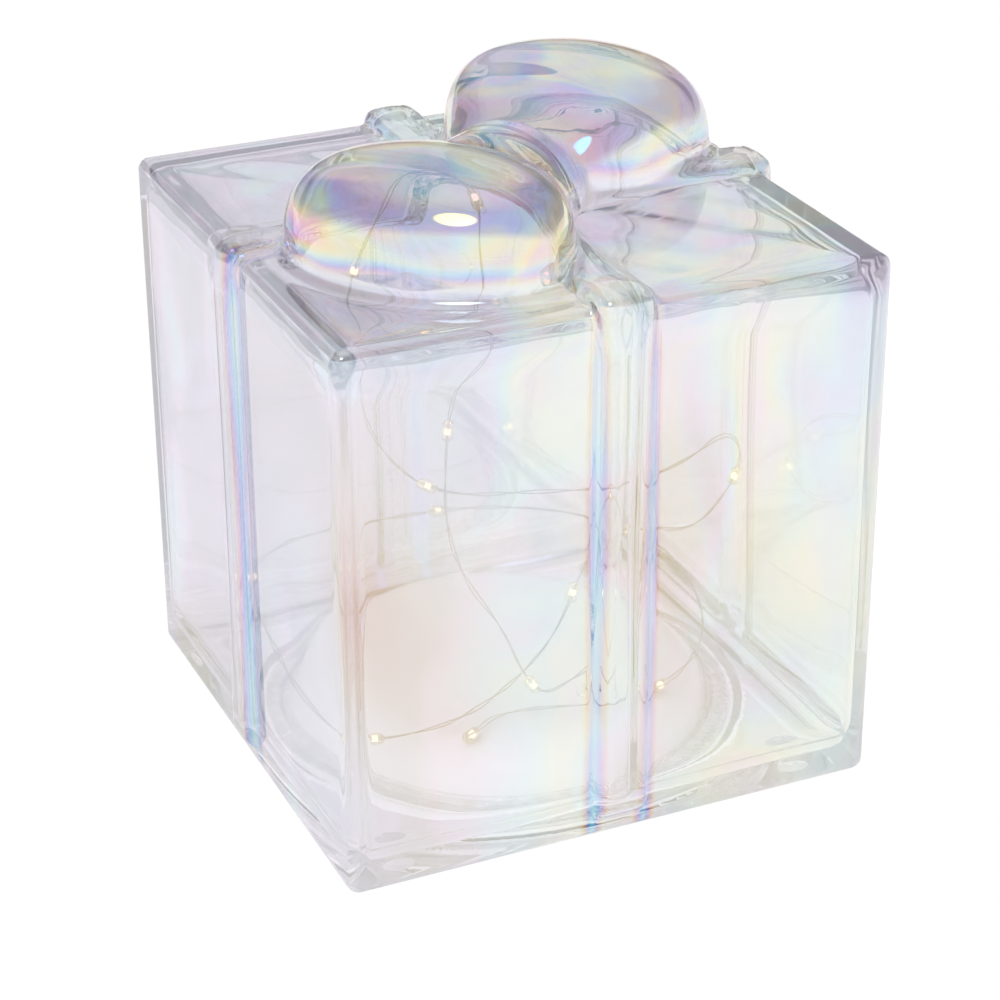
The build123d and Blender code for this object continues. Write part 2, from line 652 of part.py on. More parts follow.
def terminal_plate(index, side):
    """The end contact of one cell, with its solder tab through the wall."""
    y = terminal_y(index)
    plate = contact_plate(side, y - CONTACT_WIDTH / 2, y + CONTACT_WIDTH / 2)
    inner, outer = sorted((side * (BAY_LENGTH / 2 - CONTACT_THICKNESS), side * TAB_TIP))
    tab = block(inner, outer, y - TAB_WIDTH / 2, y + TAB_WIDTH / 2, TAB_Z, TAB_Z + CONTACT_THICKNESS)
    return plate + tab


def bridge_plate(index):
    """The contact that joins one cell to the next, at the first cell's negative end."""
    low = terminal_y(index) - CONTACT_WIDTH / 2
    high = terminal_y(index + 1) + CONTACT_WIDTH / 2
    return contact_plate(-plus_side(index), low, high)


def coil_point(turns):
    """A point of the contact spring's centre line: it narrows from the plate to the cell."""
    share = turns / SPRING_TURNS
    radius = SPRING_BASE_RADIUS + (SPRING_TIP_RADIUS - SPRING_BASE_RADIUS) * share
    climb = SPRING_LENGTH - SPRING_WIRE - 2 * SPRING_END_GAP
    height = SPRING_END_GAP + SPRING_WIRE / 2 + climb * share
    angle = 2 * math.pi * turns
    return Vector(radius * math.cos(angle), radius * math.sin(angle), height)


def coil_heading(turns):
    """The direction of the spring's centre line."""
    return (coil_point(turns + SPRING_STEP) - coil_point(turns - SPRING_STEP)).normalized()


def coil_arcs(start, end):
    """Two tangent arcs between two places on the spring."""
    a, b = coil_point(start), coil_point(end)
    out, home = coil_heading(start), coil_heading(end)
    chord = b - a
    spread = 2 * (1 - out.dot(home))
    along = chord.dot(out + home)
    reach = (math.sqrt(along**2 + spread * chord.dot(chord)) - along) / spread
    joint = (a + out * reach + b - home * reach) * 0.5
    first = TangentArc(a, joint, tangent=out)
    return [first, TangentArc(joint, b, tangent=first % 1)]


def make_spring(index):
    """One conical contact spring, between its plate and the cell's negative end."""
    arcs = []
    for pair in range(round(SPRING_ARC_PAIRS * SPRING_TURNS)):
        arcs += coil_arcs(pair / SPRING_ARC_PAIRS, (pair + 1) / SPRING_ARC_PAIRS)
    section = Plane(origin=coil_point(0), z_dir=coil_heading(0)) * Circle(SPRING_WIRE / 2)
    coil = sweep(section, path=Wire(arcs))
    side = -plus_side(index)
    plate = side * (BAY_LENGTH / 2 - CONTACT_THICKNESS)
    return Pos(plate, terminal_y(index), CELL_Z) * Rot(0, -90 * side, 0) * coil


def spring_gap():
    """The least gap between neighbouring turns of a contact spring."""
    count = round(SPRING_SAMPLES * SPRING_TURNS) + 1
    steps = [coil_point(i / SPRING_SAMPLES) for i in range(count)]
    half_turn = SPRING_SAMPLES // 2
    apart = [(a - b).length for i, a in enumerate(steps) for b in steps[i + half_turn :]]
    return min(apart) - SPRING_WIRE


# Circuit board and its parts


def make_circuit_board():
    """The board, seated on the tray's posts."""
    half, side = BOARD_LENGTH / 2, BOARD_WIDTH / 2
    board = block(-half, half, BOARD_Y - side, BOARD_Y + side, BOARD_BOTTOM, BOARD_TOP)
    for x, y in peg_places():
        hole = PEG_RADIUS + SNUG_CLEARANCE / 2
        board -= post(hole, x, y, BOARD_BOTTOM - RUN_PAST, BOARD_TOP + RUN_PAST)
    return board


def make_timer_chip():
    """The timer chip with its two rows of legs."""
    y = BOARD_Y + PART_ROW_Y
    low = BOARD_TOP + CHIP_LEG_THICKNESS
    half, side = CHIP_LENGTH / 2, CHIP_WIDTH / 2
    chip = block(CHIP_X - half, CHIP_X + half, y - side, y + side, low, low + CHIP_HEIGHT)
    for leg in range(CHIP_LEG_COUNT):
        x = CHIP_X + (leg - (CHIP_LEG_COUNT - 1) / 2) * CHIP_LEG_PITCH
        reach = side + CHIP_LEG_REACH
        half_leg = CHIP_LEG_WIDTH / 2
        chip += block(x - half_leg, x + half_leg, y - reach, y + reach, BOARD_TOP, low)
    return chip


def wired_part(x, y, radius, length):
    """A round part lying on the board along X, with a leg bent down at each end."""
    height = BOARD_TOP + radius
    part = bar_along_x(radius, x - length / 2, x + length / 2, y, height)
    part = fillet(part.edges(), ROUND_PART_EDGE_RADIUS)
    reach = length / 2 + WIRE_LEG_REACH
    part += bar_along_x(WIRE_LEG_RADIUS, x - reach, x + reach, y, height)
    for side in (-1, 1):
        part += post(WIRE_LEG_RADIUS, x + side * reach, y, BOARD_TOP, height)
        part += Pos(x + side * reach, y, height) * Sphere(WIRE_LEG_RADIUS)
    return part


def make_switch_body():
    """The slide switch's shell under the board, open below for its slider."""
    half, side = SWITCH_LENGTH / 2, SWITCH_WIDTH / 2
    shell = block(-half, half, BOARD_Y - side, BOARD_Y + side, DISH_FLOOR_TOP, BOARD_BOTTOM)
    room = (SLIDER_LENGTH + SWITCH_TRAVEL) / 2 + SNUG_CLEARANCE
    room_side = SLIDER_WIDTH / 2 + SNUG_CLEARANCE
    room_top = DISH_FLOOR_TOP + SLIDER_HEIGHT + 2 * SNUG_CLEARANCE
    room_low = DISH_FLOOR_TOP - RUN_PAST
    shell -= block(-room, room, BOARD_Y - room_side, BOARD_Y + room_side, room_low, room_top)
    return fillet(shell.edges().group_by(Axis.Z)[-1], SWITCH_EDGE_RADIUS)


def make_switch_slider():
    """The slider with its knob, at the end of its travel where the lights are on."""
    low = DISH_FLOOR_TOP + SNUG_CLEARANCE
    half, side = SLIDER_LENGTH / 2, SLIDER_WIDTH / 2
    slider = block(
        SWITCH_ON_X - half, SWITCH_ON_X + half, BOARD_Y - side, BOARD_Y + side, low, low + SLIDER_HEIGHT
    )
    knob_half, knob_side = KNOB_LENGTH / 2, KNOB_WIDTH / 2
    knob = block(
        SWITCH_ON_X - knob_half,
        SWITCH_ON_X + knob_half,
        BOARD_Y - knob_side,
        BOARD_Y + knob_side,
        DISH_TOP - KNOB_STAND,
        low,
    )
    knob = fillet(knob.edges().group_by(Axis.Z)[0], KNOB_EDGE_RADIUS)
    return slider + knob


# Leads


def make_lead(index, side):
    """One insulated lead, from a terminal's tab round the bay and down onto the board."""
    y = terminal_y(index)
    tab_z = TAB_Z + CONTACT_THICKNESS / 2
    height = BOARD_TOP + LEAD_RISE
    bend = TAB_TIP + LEAD_RUN_OUT
    turn_y = BOARD_Y + BOARD_WIDTH / 2
    pad_x = PEG_X - POST_RADIUS - 2 * LEAD_RADIUS
    points = [
        (side * TAB_TIP, y, tab_z),
        (side * bend, y, tab_z),
        (side * bend, (y + turn_y) / 2 - LEAD_RADIUS, (tab_z + height) / 2),
        (side * (bend - LEAD_SWING), turn_y, height),
        (side * (pad_x + LEAD_SWING), turn_y - LEAD_DIP, height),
        (side * pad_x, turn_y - LEAD_SWING, height - LEAD_DIP),
        (side * pad_x, turn_y - LEAD_SWING, BOARD_TOP),
    ]
    lead, length, radii = tube_along(points, LEAD_RADIUS)
    print("lead", side, "length", round(length, 1), "radii", [round(r, 1) for r in radii])
    return lead


def make_string_grommet():
    """The rubber bush that guides the string out of the cover."""
    bore = STRING_RADIUS + GROMMET_BORE_CLEARANCE
    low = COVER_INNER_TOP - GROMMET_FLANGE_HEIGHT
    section = [
        (bore, low),
        (GROMMET_FLANGE_RADIUS, low),
        (GROMMET_FLANGE_RADIUS, COVER_INNER_TOP),
        (GROMMET_BODY_RADIUS, COVER_INNER_TOP),
        (GROMMET_BODY_RADIUS, COVER_TOP),
        (GROMMET_FLANGE_RADIUS, COVER_TOP),
        (GROMMET_FLANGE_RADIUS, GROMMET_TOP - GROMMET_FLANGE_HEIGHT / 2),
        (GROMMET_FLANGE_RADIUS - GROMMET_FLANGE_HEIGHT / 2, GROMMET_TOP),
        (bore, GROMMET_TOP),
    ]
    return Pos(STRING_X, STRING_Y, 0) * turned(section)


def make_string_lead():
    """The string's start inside the base, from the board up through the grommet."""
    return post(STRING_RADIUS, STRING_X, STRING_Y, BOARD_TOP, GROMMET_TOP)


# Light string

STRING_POINTS = [(STRING_X, STRING_Y, GROMMET_TOP)] + STRING_ROUTE


def make_light_string():
    """The pair of fine wires as one tube along the string's route."""
    string, length, radii = tube_along(STRING_POINTS, STRING_RADIUS)
    print("string length", round(length, 1), "radii", [round(r, 1) for r in radii])
    share = string.volume / (math.pi * STRING_RADIUS**2 * length)
    print("string volume over section times length", round(share, 4))
    return string


def bead_frame(run):
    """The middle of a run of the string, with Z along the string."""
    a, b = Vector(*STRING_POINTS[run]), Vector(*STRING_POINTS[run + 1])
    return Plane(origin=(a + b) * 0.5, z_dir=b - a)


def make_bead(run):
    """A drop of clear resin moulded round the string."""
    straight = BEAD_LENGTH - 2 * BEAD_RADIUS
    drop = Cylinder(BEAD_RADIUS, straight)
    for side in (-1, 1):
        drop += Pos(0, 0, side * straight / 2) * Sphere(BEAD_RADIUS)
    return bead_frame(run).location * drop


def make_led_chips():
    """The light-emitting chips soldered between the wires, one in each bead."""
    half, side = CHIP_LED_LENGTH / 2, CHIP_LED_WIDTH / 2
    chip = block(-side, side, -side, side, -half, half)
    return Compound([bead_frame(run).location * chip for run in BEAD_RUNS])


nodes = {
    "glass_body": make_glass_body(),
    "bumper_feet": make_bumper_feet(),
    "silicone_seal": make_silicone_seal(),
    "base_cover": make_base_cover(),
    "base_tray": make_base_tray(),
    "base_screws": make_base_screws(),
    "battery_door": make_battery_door(),
    "positive_terminal": terminal_plate(0, plus_side(0)),
    "negative_terminal": terminal_plate(CELL_COUNT - 1, -plus_side(CELL_COUNT - 1)),
    "circuit_board": make_circuit_board(),
    "timer_chip": make_timer_chip(),
    "timer_crystal": wired_part(CRYSTAL_X, BOARD_Y - PART_ROW_Y, CRYSTAL_RADIUS, CRYSTAL_LENGTH),
    "series_resistor": wired_part(RESISTOR_X, BOARD_Y + PART_ROW_Y, RESISTOR_RADIUS, RESISTOR_LENGTH),
    "switch_body": make_switch_body(),
    "switch_slider": make_switch_slider(),
    "battery_lead_positive": make_lead(0, plus_side(0)),
    "battery_lead_negative": make_lead(CELL_COUNT - 1, -plus_side(CELL_COUNT - 1)),
    "string_grommet": make_string_grommet(),
    "string_lead": make_string_lead(),
    "light_string": make_light_string(),
    "led_chips": make_led_chips(),
}
for cell in range(CELL_COUNT):
    nodes[f"battery_{cell + 1}"] = make_cell(cell)
    nodes[f"contact_spring_{cell + 1}"] = make_spring(cell)
for bridge in range(CELL_COUNT - 1):
    nodes[f"bridge_contact_{bridge + 1}"] = bridge_plate(bridge)
for number, run in enumerate(BEAD_RUNS, start=1):
    nodes[f"led_bead_{number:02d}"] = make_bead(run)

print("least gap between spring turns", round(spring_gap(), 2))
os.makedirs("parts", exist_ok=True)
for name, shape in nodes.items():
    shape.label = name
    export_step(shape, f"parts/{name}.step")
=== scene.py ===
import json
import math

import bpy
import numpy as np
from mathutils import Matrix, Vector


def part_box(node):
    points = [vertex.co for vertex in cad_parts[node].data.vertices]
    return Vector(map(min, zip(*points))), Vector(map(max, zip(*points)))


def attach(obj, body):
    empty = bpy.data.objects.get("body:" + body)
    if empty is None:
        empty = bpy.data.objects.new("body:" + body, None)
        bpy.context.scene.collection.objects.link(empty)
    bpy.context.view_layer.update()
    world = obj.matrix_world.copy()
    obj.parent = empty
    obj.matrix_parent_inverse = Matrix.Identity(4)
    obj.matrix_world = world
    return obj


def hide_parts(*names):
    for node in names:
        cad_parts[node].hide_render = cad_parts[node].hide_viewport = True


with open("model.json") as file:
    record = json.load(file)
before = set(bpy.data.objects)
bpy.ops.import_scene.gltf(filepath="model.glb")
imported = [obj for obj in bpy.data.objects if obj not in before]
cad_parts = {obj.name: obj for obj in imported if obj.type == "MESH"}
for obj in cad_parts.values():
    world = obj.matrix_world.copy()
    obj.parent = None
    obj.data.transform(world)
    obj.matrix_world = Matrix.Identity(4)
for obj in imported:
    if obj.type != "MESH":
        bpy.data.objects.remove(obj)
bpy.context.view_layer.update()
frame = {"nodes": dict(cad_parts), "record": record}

# Light-up gift box: an iridescent blown-glass present with a fairy-light string on a battery base.
# Metres, +Z up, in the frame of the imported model.

MM = 0.001
NODES = frame["nodes"]

# Camera, as the photograph was taken
CAMERA_AZIMUTH = math.radians(-23.98)
CAMERA_ELEVATION = math.radians(26.55)
CAMERA_ROLL = math.radians(-0.3)
CAMERA_TARGET = Vector((0.1, 0.0, 64.7)) * MM
CAMERA_DISTANCE = 784.5 * MM
CAMERA_LENS = 103.0
CAMERA_SENSOR = 36.0

# Glass, as in the model
BOX_HALF = 75.0 * MM
BOX_LOW = 1.2 * MM
BOX_TOP = 151.2 * MM
WALL = 3.2 * MM
FLOOR_TOP = 6.2 * MM
RECESS_TOP = 3.6 * MM
RECESS_RADIUS = 66.0 * MM
OPENING_RADIUS = 58.0 * MM
RIBBON_HALF = 7.5 * MM
RIBBON_RISE = 3.0 * MM
RIBBON_LOW = 7.7 * MM
SHOULDER_RADIUS = 8.0 * MM
SHOULDER_RISE = 3.6 * MM
BOW_TURN = math.radians(41.3)
LOOP_BEND = math.radians(2.9)
LOOP_REACH = 72.5 * MM
LOOP_HALF_WIDTH = 41.0 * MM
LOOP_WIDEST_AT = 48.5 * MM
LOOP_ROOT_HALF_WIDTH = 18.5 * MM
LOOP_HEIGHT = 29.45 * MM
LOOP_CROWN_AT = 45.5 * MM
LOOP_END_HEIGHT = 20.8 * MM
LOOP_SIDE_HEIGHT = 17.4 * MM
KNOT_HALF_LENGTH = 21.5 * MM
KNOT_HALF_WIDTH = 11.0 * MM
KNOT_HEIGHT = 20.7 * MM

# Glass, as blown: radii of its edges, and how far its forms melt into each other
OUTER_EDGE = 3.2 * MM
RIBBON_EDGE = 3.2 * MM
INNER_CORNER = 4.0 * MM
INNER_EDGE_BLEND = 11.7 * MM
RIBBON_BLEND = 2.0 * MM
SHOULDER_BLEND = 3.0 * MM
LOOP_CORNER_BLEND = 14.0 * MM
LOOP_RIM_BLEND = 10.8 * MM
LOOP_FOOT_BLEND = 5.0 * MM
KNOT_EDGE_BLEND = 6.0 * MM
KNOT_BLEND = 2.5 * MM
OPENING_BLEND = 2.0 * MM

# Waves of the inner surface: height, waves per metre along X, Y and Z, and phase
RIPPLES = [
    (0.16 * MM, (9.0, 3.0, 5.0), 0.4),
    (0.12 * MM, (-4.0, 8.0, 7.0), 2.1),
    (0.08 * MM, (15.0, -11.0, 9.0), 4.0),
]
BOW_RIPPLES = [
    (0.13 * MM, (45.0, 40.0, 22.0), 0.9),
    (0.10 * MM, (31.0, 25.0, 48.0), 2.7),
    (0.06 * MM, (-21.0, 24.0, 30.0), 4.4),
]
BOW_RIPPLE_FADE = 12.0 * MM

# Mesh of the glass: its grid, the cells round the form, and how its points are brought to the surface
GLASS_STEP = 1.5 * MM
GLASS_MARGIN = 2
SURFACE_PASSES = 4
LEAST_SLOPE_SQUARED = 0.25
PROBE = 0.05 * MM
TINY = 1e-6

# Film on the glass. Tints run over a drift from 0 to 1, and thicknesses are in nanometres. The darkest
# tint, at the end of the drift, is painted shade, and the drift is pushed towards it on the left wall.
# Pairs by height give millimetres above the top of the box and the value there.
FILM_TINTS_AND_SHADE = [
    (0.00, (0.77, 0.75, 0.89)),
    (0.18, (0.88, 0.74, 0.84)),
    (0.34, (0.88, 0.86, 0.69)),
    (0.48, (0.71, 0.86, 0.81)),
    (0.62, (0.66, 0.76, 0.90)),
    (0.78, (0.76, 0.64, 0.84)),
    # painted shade: this darkest lilac stands for the dimmer light on the left wall
    (1.00, (0.60, 0.57, 0.71)),
]
BOW_LUSTRE = [
    (0.00, (0.58, 0.53, 0.68)),
    (0.22, (0.74, 0.54, 0.70)),
    (0.36, (0.91, 0.74, 0.44)),
    (0.50, (0.68, 0.78, 0.64)),
    (0.64, (0.50, 0.56, 0.82)),
    (0.80, (0.58, 0.40, 0.72)),
    (1.00, (0.54, 0.49, 0.61)),
]
TINT_DRIFT = (-0.6, 1.6)
BOW_TINT_DRIFT = (-0.7, 1.7)
# painted shade: shifts the drift towards the darkest tint on the left wall, and a little away from it on
# the right
PAINTED_SIDE_SHADE = (0.50, -0.12)
BOW_TINT_SHARE = ((3.0, 0.0), (9.0, 1.0))
FILM_SWING = 60.0
FILM_SWING_SHARE = ((-14.0, 1.0), (-4.0, 0.4))
BOW_SWING = 150.0
BOW_SWING_SHARE = ((3.0, 0.0), (10.0, 1.0))
FILM_BELOW = ((-14.0, 56.0), (-4.0, 30.0))
FILM_ABOVE = ((3.0, 0.0), (11.0, 125.0))
FILM_SIDE = (8.0, -14.0)
EDGE_FILM = 75.0
EDGE_FILM_WIDTH = 3.5 * MM
EDGE_FILM_SHARE = ((2.0, 1.0), (4.0, 0.0))
INNER_HAZE = ((-30.0, 0.045), (-5.0, 0.0))
GLASS_IOR = 1.47

# Noise of the film: scale, detail, stretch along X, Y and Z, and distortion
TINT_NOISE = (25.0, 1.5, (1.0, 1.0, 0.6), 0.7)
BOW_TINT_NOISE = (26.0, 1.5, (1.0, 1.0, 2.0), 0.8)
FILM_NOISE = (14.0, 1.0, (1.0, 1.0, 0.6), 0.4)
BOW_FILM_NOISE = (24.0, 1.0, (1.0, 1.0, 1.6), 0.5)

# Other finishes: where noise turns from tone to tone, how roughness varies, fine relief, and the
# bands on a cell's jacket by their share of its length
TONE_STOPS = (0.3, 0.7)
WIRE_TONE_STOPS = (0.35, 0.65)
ROUGHNESS_RANGE = (0.75, 1.3)
RELIEF_FINENESS = 6
RELIEF_STRENGTH = 0.4
JACKET_LENGTH = 1.0 / 18.0
SILVER = (0.75, 0.74, 0.72)
STEEL = (0.62, 0.62, 0.63)
COPPER = (0.72, 0.44, 0.22)
BLACK = (0.03, 0.03, 0.035)
JACKET_BANDS = [(0.0, STEEL), (0.09, COPPER), (0.3, BLACK), (0.7, COPPER), (0.91, STEEL)]
PLAIN_FINISHES = {
    "clear_silicone": {
        "colour": (0.93, 0.94, 0.95), "roughness": 0.25, "scale": 120.0,
        "transmission_weight": 0.8, "ior": 1.41,
    },
    "white_plastic": {
        "colour": (0.80, 0.80, 0.79), "roughness": 0.16, "scale": 60.0,
        "relief": 0.02 * MM, "shade": 0.97, "coat_weight": 0.3,
    },
    "door_plastic": {
        "colour": (0.82, 0.82, 0.81), "roughness": 0.4, "scale": 90.0,
        "relief": 0.05 * MM, "shade": 0.95,
    },
    "screw_steel": {"colour": (0.6, 0.6, 0.62), "roughness": 0.3, "scale": 700.0, "metallic": 1.0},
    "nickel_contact": {"colour": SILVER, "roughness": 0.25, "scale": 400.0, "metallic": 1.0},
    "board_laminate": {
        "colour": (0.03, 0.20, 0.10), "roughness": 0.35, "scale": 300.0, "relief": 0.02 * MM,
    },
    "chip_epoxy": {
        "colour": (0.03, 0.03, 0.03), "roughness": 0.5, "scale": 900.0, "relief": 0.02 * MM,
    },
    "resistor_lacquer": {"colour": (0.62, 0.48, 0.30), "roughness": 0.35, "scale": 600.0},
    "black_plastic": {
        "colour": (0.035, 0.035, 0.04), "roughness": 0.4, "scale": 300.0, "relief": 0.03 * MM,
    },
    "red_insulation": {"colour": (0.55, 0.03, 0.03), "roughness": 0.4, "scale": 400.0},
    "white_rubber": {
        "colour": (0.78, 0.78, 0.76), "roughness": 0.55, "scale": 250.0, "relief": 0.03 * MM,
    },
}

# Light string: its route in the model, in millimetres, its size, and the runs that hold a bead
STRING_ROUTE = [
    (13.0, -30.0, 18.7),
    (13.0, -30.0, 25.0),
    (10.5, -36.0, 29.5),
    (1.0, -40.5, 29.0),
    (-6.5, -41.0, 27.0),
    (-12.0, -40.0, 34.5),
    (-17.0, -38.0, 49.0),
    (-27.0, -36.0, 64.0),
    (-31.0, -34.0, 80.5),
    (-30.0, -33.0, 98.5),
    (-29.0, -34.0, 114.5),
    (-22.5, -35.0, 129.0),
    (-19.5, -35.0, 142.5),
    (-22.5, -40.0, 155.5),
    (-23.5, -41.0, 165.0),
    (-23.5, -35.5, 171.0),
    (-27.0, -28.0, 174.0),
    (-35.0, -26.5, 173.5),
    (-43.0, -30.0, 169.0),
    (-50.0, -33.0, 159.5),
    (-52.5, -27.0, 145.5),
    (-52.0, -22.0, 129.0),
    (-48.0, -21.0, 107.0),
    (-38.5, -23.0, 91.0),
    (-25.5, -27.0, 84.0),
    (-5.0, -31.0, 83.0),
    (18.5, -32.0, 79.0),
    (41.0, -28.0, 80.0),
    (58.0, -22.0, 85.0),
    (66.0, -17.0, 73.0),
    (62.0, -13.0, 59.5),
    (51.0, -13.0, 50.0),
    (32.5, -15.0, 57.5),
    (18.5, -16.0, 51.5),
    (10.5, -17.0, 32.0),
    (-4.5, -22.0, 22.0),
    (-27.0, -34.0, 20.5),
    (-47.0, -36.0, 21.0),
    (-59.5, -36.0, 23.5),
    (-65.5, -23.0, 30.0),
    (-66.0, -3.0, 37.0),
    (-64.0, 19.0, 41.0),
    (-57.0, 40.0, 40.0),
    (-41.0, 56.0, 36.0),
    (-10.0, 62.0, 33.0),
    (24.0, 60.0, 32.0),
    (49.0, 46.0, 30.0),
    (62.0, 18.0, 27.0),
    (57.0, -14.0, 23.5),
    (42.0, -34.0, 20.5),
    (18.0, -43.0, 20.0),
    (-3.0, -35.5, 19.7),
    (-17.0, -33.5, 19.6),
    (-25.3, -39.1, 19.5),
    (-29.0, -41.5, 19.5),
]
BEAD_RUNS = [4, 9, 14, 19, 23, 29, 33, 37, 41, 44, 46, 49, 53]
ROUTE_RESOLUTION = 8

# Wires: how they wind about the string's line, in radians per metre, and how far apart they run
STRAND_RADIUS = 0.16 * MM
STRAND_SPREAD = 0.45 * MM
STRAND_SIDES = 6
STRAND_TWIST = 190.0
TWIST_SWAY = 0.9
TWIST_SWAY_PITCH = 61.0
SPREAD_SHARE = 0.75
SPREAD_SWAY = 0.35
SPREAD_SWAY_PITCH = 97.0
SPREAD_SWAY_PHASE = 1.0

# Resin drops: size, fullness, how much fatter the far end is, and how the drops differ
DROP_HALF_LENGTH = 2.9 * MM
DROP_RADIUS = 1.6 * MM
DROP_NECK_RADIUS = 0.25 * MM
DROP_FULLNESS = 0.45
DROP_TAPER = 0.08
DROP_SWELL = 0.05
DROP_SWELL_PITCH = 2.3
DROP_RINGS = 14
DROP_SIDES = 16

# Room, as glass and metal show it: brightness by how far a direction points to the dim side
DIM_SIDE = (0.12, 0.28, 0.95)
CEILING = [
    (-1.0, 1.0),
    (0.06, 1.0),
    (0.25, 0.36),
    (0.45, 0.26),
    (0.75, 0.28),
    (0.9, 0.5),
    (1.0, 0.7),
]
# Lit panels of that room: direction, nearness to it at the edge and the core, brightness
PANELS = [
    ((0.25, 0.82, 0.52), 0.85, 0.93, 0.72),
    ((-0.257, -0.559, 0.788), 0.975, 0.987, 3.2),
]
# Room, as it lights matt surfaces and as the camera sees it
AMBIENT = 0.7
BACKGROUND = 1.0
FLOOR_REACH = 4.0
FLOOR_COLOUR = (0.97, 0.97, 0.97, 1.0)
LAMP_PLACE = (-0.7, -0.5, 0.9)
LAMP_ANGLE = math.radians(60.0)
LAMP_STRENGTH = 1.5

# How often light may bend or bounce on its way through the glass
GLASS_BOUNCES = 32
GLOSSY_BOUNCES = 12


# Nodes, of a material or of the world


def spread(owner, factor, low, high, start=0.0, end=1.0):
    """A value that goes from low to high while a factor goes from start to end."""
    node = owner.node_tree.nodes.new("ShaderNodeMapRange")
    node.inputs["From Min"].default_value = start
    node.inputs["From Max"].default_value = end
    node.inputs["To Min"].default_value = low
    node.inputs["To Max"].default_value = high
    owner.node_tree.links.new(factor, node.inputs["Value"])
    return node.outputs["Result"]


def ramp(owner, factor, stops):
    """A colour ramp over a factor, from (place, colour) stops."""
    node = owner.node_tree.nodes.new("ShaderNodeValToRGB")
    while len(node.color_ramp.elements) < len(stops):
        node.color_ramp.elements.new(1.0)
    for element, (place, colour) in zip(node.color_ramp.elements, stops):
        element.position = place
        element.color = (*colour, 1.0)
    owner.node_tree.links.new(factor, node.inputs["Fac"])
    return node.outputs["Color"]


def mix_node(owner, share, first):
    """A node that goes from a first colour to its input B, by a share from 0 to 1."""
    node = owner.node_tree.nodes.new("ShaderNodeMix")
    node.data_type = "RGBA"
    owner.node_tree.links.new(share, node.inputs["Factor"])
    owner.node_tree.links.new(first, node.inputs["A"])
    return node


def noise(material, scale, detail=3.0, stretch=(1, 1, 1), distortion=0.0):
    """The factor of a noise texture in the object's own coordinates."""
    nodes, links = material.node_tree.nodes, material.node_tree.links
    place = nodes.new("ShaderNodeTexCoord")
    mapping = nodes.new("ShaderNodeMapping")
    texture = nodes.new("ShaderNodeTexNoise")
    mapping.inputs["Scale"].default_value = stretch
    texture.inputs["Scale"].default_value = scale
    texture.inputs["Detail"].default_value = detail
    texture.inputs["Distortion"].default_value = distortion
    links.new(place.outputs["Object"], mapping.inputs["Vector"])
    links.new(mapping.outputs["Vector"], texture.inputs["Vector"])
    return texture.outputs["Fac"]


def place_along(material, axis):
    """Where a point of the object lies along an axis."""
    nodes, links = material.node_tree.nodes, material.node_tree.links
    place = nodes.new("ShaderNodeTexCoord")
    axes = nodes.new("ShaderNodeSeparateXYZ")
    links.new(place.outputs["Object"], axes.inputs["Vector"])
    return axes.outputs[axis]


def by_height(material, low, high):
    """A value that changes with height, from (millimetres above the box top, value) pairs."""
    start, end = BOX_TOP + low[0] * MM, BOX_TOP + high[0] * MM
    return spread(material, place_along(material, "Z"), low[1], high[1], start, end)


def by_side(material, left, right):
    """A value that changes from the left wall of the box to the right one."""
    return spread(material, place_along(material, "X"), left, right, -BOX_HALF, BOX_HALF)


def combine(material, operation, first, second):
    """The outcome of a sum or other operation on two values."""
    node = material.node_tree.nodes.new("ShaderNodeMath")
    node.operation = operation
    material.node_tree.links.new(first, node.inputs[0])
    material.node_tree.links.new(second, node.inputs[1])
    return node.outputs["Value"]


# Materials


def new_material(name):
    """A material and its Principled shader."""
    material = bpy.data.materials.new(name)
    material.use_nodes = True
    return material, material.node_tree.nodes["Principled BSDF"]


def set_sockets(shader, **values):
    """Constants on a shader's own sockets, with underscores for the spaces in their names."""
    for name, value in values.items():
        shader.inputs[name.replace("_", " ").title().replace("Ior", "IOR")].default_value = value


def two_tones(material, shader, factor, first, second, stops=TONE_STOPS):
    """A base colour that drifts between two tones with a factor."""
    colour = ramp(material, factor, list(zip(stops, (first, second))))
    material.node_tree.links.new(colour, shader.inputs["Base Color"])


def relief_of(material, shader, height, distance):
    """Fine relief on a shader's normal."""
    node = material.node_tree.nodes.new("ShaderNodeBump")
    node.inputs["Strength"].default_value = RELIEF_STRENGTH
    node.inputs["Distance"].default_value = distance
    material.node_tree.links.new(height, node.inputs["Height"])
    material.node_tree.links.new(node.outputs["Normal"], shader.inputs["Normal"])


def glow(material, shader, colour, strength):
    """Light of the surface's own, which is seen but not counted among the lamps."""
    set_sockets(shader, emission_color=(*colour, 1.0), emission_strength=strength)
    material.cycles.emission_sampling = "NONE"


def plain_finish(name, colour, roughness, scale, relief=0.0, shade=0.85, **sockets):
    """A finish whose tone and gloss vary a little over the surface, with optional fine relief."""
    material, shader = new_material(name)
    factor = noise(material, scale)
    two_tones(material, shader, factor, tuple(channel * shade for channel in colour), colour)
    gloss = spread(material, factor, *(roughness * share for share in ROUGHNESS_RANGE))
    material.node_tree.links.new(gloss, shader.inputs["Roughness"])
    if relief:
        relief_of(material, shader, noise(material, scale * RELIEF_FINENESS), relief)
    set_sockets(shader, **sockets)
    return material


def ribbon_edges(material, axis):
    """How much thicker the film is along both edges of the ribbon that lies across an axis."""
    nodes, links = material.node_tree.nodes, material.node_tree.links
    away = place_along(material, axis)
    for middle in (0.0, RIBBON_HALF):
        shift, size = nodes.new("ShaderNodeMath"), nodes.new("ShaderNodeMath")
        shift.operation, size.operation = "SUBTRACT", "ABSOLUTE"
        shift.inputs[1].default_value = middle
        links.new(away, shift.inputs[0])
        links.new(shift.outputs["Value"], size.inputs[0])
        away = size.outputs["Value"]
    return spread(material, away, EDGE_FILM, 0.0, 0.0, EDGE_FILM_WIDTH)


